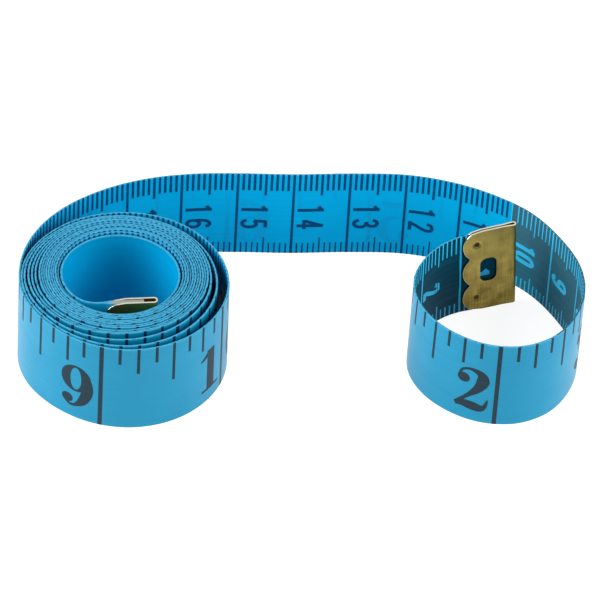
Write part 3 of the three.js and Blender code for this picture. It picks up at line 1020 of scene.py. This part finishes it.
def makeClipMesh(name, radius, inside, length, materials):
    high, sheet = clip["height"], clip["sheet"]
    lineLengths, lineX, lineY = leafLine(radius, inside, length)
    leafLength = lineLengths[-1]
    tips = scallops(leafLength)
    outlines = [(np.vstack([tips, tips[::-1] * (-1, 1)]), 1)]
    wide, tall, cornerRound = clip["slot"]
    quarter = np.linspace(0, math.pi / 2, 8)
    slots, dents, cuts = [], [], []
    for leaf in (1, -1):
        slotAt = leaf * (leafLength - length + clip["slotFromFold"])
        slots.append((slotAt, high / 2))
        arcs = []
        for turn, right, up in ((0, 1, 1), (1, -1, 1), (2, -1, -1), (3, 1, -1)):
            hub = (slotAt + right * (wide / 2 - cornerRound), high / 2 + up * (tall / 2 - cornerRound))
            arcs.append(ring(np.array(hub), cornerRound, quarter + turn * math.pi / 2))
        outlines.append((np.vstack(arcs), -1))
        for z in (clip["dentFromEdge"], high - clip["dentFromEdge"]):
            dents.append((leaf * (leafLength - clip["dentFromTips"]), z))
    for dent in dents:
        for share in (1.2, 1, 0.8, 0.6, 0.4, 0.2):  # the first keeps the sheet round it flat
            cuts.append(ring(np.array(dent), clip["dent"] * share, np.linspace(0, math.tau, 21)))
    for u in lineLengths[:-1]:
        for place in {u, -u}:
            cuts.append(np.array([[place, -1.0], [place, high + 1.0]]))
    spots, triangles = filled(outlines, cuts)
    u, z = spots.T
    x = np.interp(abs(u), lineLengths, lineX)
    y = np.interp(abs(u), lineLengths, lineY) * np.sign(u)
    aheadX = np.interp(abs(u), lineLengths, np.gradient(lineX, lineLengths)) * np.sign(u)
    aheadY = np.interp(abs(u), lineLengths, np.gradient(lineY, lineLengths))
    aheadX[u == 0], aheadY[u == 0] = 0, 1
    steep = np.hypot(aheadX, aheadY)
    out = np.stack([-aheadY / steep, aheadX / steep], 1) * sheet / 2
    for dentU, dentZ in dents:
        away = np.hypot(u - dentU, z - dentZ) / clip["dent"]
        y -= np.sign(dentU) * clip["dentDepth"] * np.clip(1 - away**2, 0, None) ** clip["dentCurve"]
    outer = np.stack([x + out[:, 0], y + out[:, 1], z], 1)
    inner = np.stack([x - out[:, 0], y - out[:, 1], z], 1)
    count = len(spots)
    tops = [tuple(int(i) for i in triangle) for triangle in triangles]
    shape = bmesh.new()
    flat = shape.loops.layers.uv.new("clipFlat")
    corners = [shape.verts.new(point) for point in np.vstack([outer, inner])]
    for face in plateFaces(tops, count):
        made = shape.faces.new([corners[i] for i in face])
        spot = np.array([(u[i % count], z[i % count]) for i in face]).mean(0)
        # the floors of the dents and the walls of the slot take painted shade
        shadedPit = min(np.linalg.norm(spot - dent) for dent in dents) < clip["dentShade"] * clip["dent"]
        slotted = min(np.linalg.norm(spot - slot) for slot in slots) < tall / 2 + clip["slotWall"]
        paintedShade = slotted if len(face) == 4 else shadedPit
        made.material_index = 2 if paintedShade else int(len(face) == 4)
        for loop, i in zip(made.loops, face):
            loop[flat].uv = (u[i % count], z[i % count])
    loose = [vert for vert in shape.verts if not vert.link_faces]
    bmesh.ops.delete(shape, geom=loose, context="VERTS")
    bmesh.ops.recalc_face_normals(shape, faces=shape.faces)
    rims = [edge for edge in shape.edges if {face.material_index for face in edge.link_faces} == {0, 1}]
    bmesh.ops.bevel(
        shape, geom=rims, offset=clip["rimRound"], segments=2, profile=0.5,
        affect="EDGES", clamp_overlap=True, material=1,
    )
    for edge in shape.edges:  # flat faces stay flat up to the rounded rim
        kinds = {face.material_index for face in edge.link_faces}
        edge.smooth = kinds != {0, 1} and edge.calc_face_angle(0) < clip["sharpFrom"]
    bmesh.ops.scale(shape, vec=(mm, mm, mm), verts=shape.verts)
    mesh = bpy.data.meshes.new(name)
    shape.to_mesh(mesh)
    shape.free()
    for material in materials:
        mesh.materials.append(material)
    mesh.polygons.foreach_set("use_smooth", np.ones(len(mesh.polygons), bool))
    return mesh


brass = {
    "face": tint(176, 156, 84),
    "faceRough": 0.34,
    # the darker tone of dull patches, and of the painted shade towards the lower edge
    "dullAndShade": tint(102, 88, 35),
    # painted highlight: the rounded rims are a near-white copy of the brass
    "rim": tint(226, 221, 202),
    "rimRough": 0.22,
    # painted shade for the dents' floors and the slot's walls
    "shadedPit": tint(70, 58, 28),
    "pitRough": 0.4,
    "brushed": (0.12, 6.0),  # mm along and across a leaf
    "crossed": (5.0, 0.12),
    "stain": (1 / 0.35, 1 / 0.35),
    "mottle": (0.5, 1.3),  # parts of cross brushing and stains in the dull tone
    "paintedLowShade": 0.9,  # painted shade, strongest at the lower edge and none near the upper one
    "dulling": 0.18,  # roughness that it adds
    "relief": (0.2, 0.02),
    "crossRelief": 0.6,
}


def brassFinish(name, colour, dullAndShade, rough):
    finish = freshFinish(name)
    u, z = finish.flat("clipFlat")
    brushed = finish.stretched(u, z, brass["brushed"], 3.0, 0.6)
    crossed = finish.stretched(u, z, brass["crossed"])
    stain = finish.stretched(u, z, brass["stain"], 3.0)
    # painted shade, darker towards the lower edge
    paintedLowShade = brass["paintedLowShade"] - z / clip["height"]
    byCross, byStain = brass["mottle"]
    share = (brushed - 0.5 + (crossed - 0.5) * byCross + (stain - 0.5) * byStain + paintedLowShade).clipped()
    sockets = {
        "Base Color": finish.mix(share, colour, dullAndShade),
        "Metallic": 1.0,
        "Roughness": rough + share * brass["dulling"],
        "Normal": finish.bump(*brass["relief"], brushed + crossed * brass["crossRelief"]),
    }
    return finish.surface(sockets)


brassFace = brassFinish("brassFace", brass["face"], brass["dullAndShade"], brass["faceRough"])
# a lighter copy of the brass for the rims, as painted highlight
brassRimHighlight = brassFinish("brassRimHighlight", brass["rim"], brass["face"], brass["rimRough"])
brassShade = brassFinish("brassShade", brass["shadedPit"], brass["shadedPit"], brass["pitRough"])


# a clip over an end of the tape; way runs from that end into the tape
def seatClip(name, s, back, radius, past):
    x, y, way = pathAt(s)
    way += math.pi if back else 0
    inside = tape["doubled"] if back else tape["pinch"]
    length = clip["endLength"] if back else clip["startLength"]
    mesh = makeClipMesh(name, radius, inside, length, [brassFace, brassRimHighlight, brassShade])
    piece = bpy.data.objects.new(name, mesh)
    lean = 0 if back else (riseAt(0.0) - riseAt(length)) / length
    middle = Matrix.Translation(Vector((-past, 0, -clip["height"] / 2)) * mm)
    raised = clip["raised"] - (tape["innerLift"] if back else 0)
    spot = Matrix.Translation(Vector((x, y, tape["width"] / 2 + riseAt(s) + raised)) * mm)
    askew = Matrix.Identity(4)
    askew[0][2] = 0 if back else clip["skew"]
    piece.data.transform(spot @ Matrix.Rotation(way, 4, "Z") @ Matrix.Rotation(lean, 4, "Y") @ askew @ middle)
    scene.collection.objects.link(piece)
    return piece


startClip = seatClip("startClip", 0.0, False, clip["startFold"], clip["startPast"])
endClip = seatClip("endClip", tapeEnd, True, clip["endFold"], clip["endPast"])
print("clips folded:", len(startClip.data.polygons) + len(endClip.data.polygons), "faces")

# what carries what
for piece in (tapeRoll, rollMetric, rollInch, endClip):
    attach(piece, "roll")
for piece in (tapeStretch, stretchGhost, stretchMetric, stretchInch):
    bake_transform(piece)
for piece in (tapeLoop, loopFilm, loopLight, loopGhost, loopMetric, loopInch):
    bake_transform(piece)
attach(startClip, "loop")
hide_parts("tape_roll")
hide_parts("free_stretch")
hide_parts("end_loop")
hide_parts("start_clip")
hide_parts("end_clip")

# the floor, white to the camera but still taking the shadow
stage = {
    "size": 4.0,  # metres
    "paper": (0.3, 0.3, 0.3, 1),  # what the camera sees of the floor, with the glow added
    "glow": 0.86,
    "plain": (0.8, 0.8, 0.8, 1),  # what lights the pieces
    "white": (1, 1, 1, 1),
    "sky": 0.5,
}


def seenRays(finish):
    rays = finish.node("LightPath")
    seen = rays.out("Is Camera Ray") + rays.out("Is Glossy Ray") + rays.out("Is Transmission Ray")
    return seen.clipped()


def makeFloor():
    finish = freshFinish("floorPaper")
    paper = finish.node("BsdfDiffuse", None, {"Color": stage["paper"]})
    glow = finish.node("Emission", None, {"Color": stage["white"], "Strength": stage["glow"]})
    lit = finish.node("AddShader", None, {0: paper, 1: glow})
    plain = finish.node("BsdfDiffuse", None, {"Color": stage["plain"]})
    seen = seenRays(finish)
    material = finish.done(finish.node("MixShader", None, {0: seen, 1: plain, 2: lit}))
    half = stage["size"] / 2
    corners = [(-half, -half, 0), (half, -half, 0), (half, half, 0), (-half, half, 0)]
    mesh = bpy.data.meshes.new("floor")
    mesh.from_pydata(corners, [], [(0, 1, 2, 3)])
    mesh.materials.append(material)
    floor = bpy.data.objects.new("floor", mesh)
    scene.collection.objects.link(floor)


def makeSky():
    finish = Finish(bpy.data.worlds.new("studioSky"))
    seen = seenRays(finish)
    soft = finish.node("Background", None, {"Color": stage["white"], "Strength": stage["sky"]})
    white = finish.node("Background", None, {"Color": stage["white"], "Strength": 1.0})
    scene.world = finish.done(finish.node("MixShader", None, {0: seen, 1: soft, 2: white}), "World")


lamps = {
    "left": {"place": (-0.88, -0.22, 0.48), "size": 0.8, "power": 15.8},
    "right": {"place": (0.88, -0.22, 0.48), "size": 0.8, "power": 12.6},
}


def makeLamps():
    for name, lamp in lamps.items():
        light = bpy.data.lights.new(name, "AREA")
        light.energy = lamp["power"]
        light.size = lamp["size"]
        holder = bpy.data.objects.new(name, light)
        holder.location = lamp["place"]
        holder.rotation_euler = (-Vector(lamp["place"])).to_track_quat("-Z", "Y").to_euler()
        scene.collection.objects.link(holder)


camera = {
    "elevation": 41.86,  # degrees above the floor
    "lean": 3.67,  # degrees that the picture leans to the right
    "distance": 0.9,
    "angle": 6.677,  # degrees across the picture
    "aimHeight": 0.009,
    "sensor": 36.0,
    "nearest": 0.01,
}


def makeCamera():
    up = math.radians(camera["elevation"])
    lean = math.radians(camera["lean"])
    ahead = Vector((0, math.cos(up), -math.sin(up)))
    level = Vector((1, 0, 0))
    upright = level.cross(ahead)
    right = level * math.cos(lean) + upright * math.sin(lean)
    top = upright * math.cos(lean) - level * math.sin(lean)
    shift = (hinges["free_end_swing"][:2] - tape["route"][-2]) * mm
    aim = Vector((*shift, camera["aimHeight"]))
    lens = bpy.data.cameras.new("camera")
    lens.sensor_width = camera["sensor"]
    lens.angle = math.radians(camera["angle"])
    lens.clip_start = camera["nearest"]
    holder = bpy.data.objects.new("camera", lens)
    turn = Matrix((right, top, -ahead)).transposed().to_4x4()
    holder.matrix_world = Matrix.Translation(aim - ahead * camera["distance"]) @ turn
    scene.collection.objects.link(holder)
    scene.camera = holder


makeFloor()
makeSky()
makeLamps()
makeCamera()
scene.view_settings.view_transform = "Standard"
print("stage set")

bpy.context.view_layer.update()
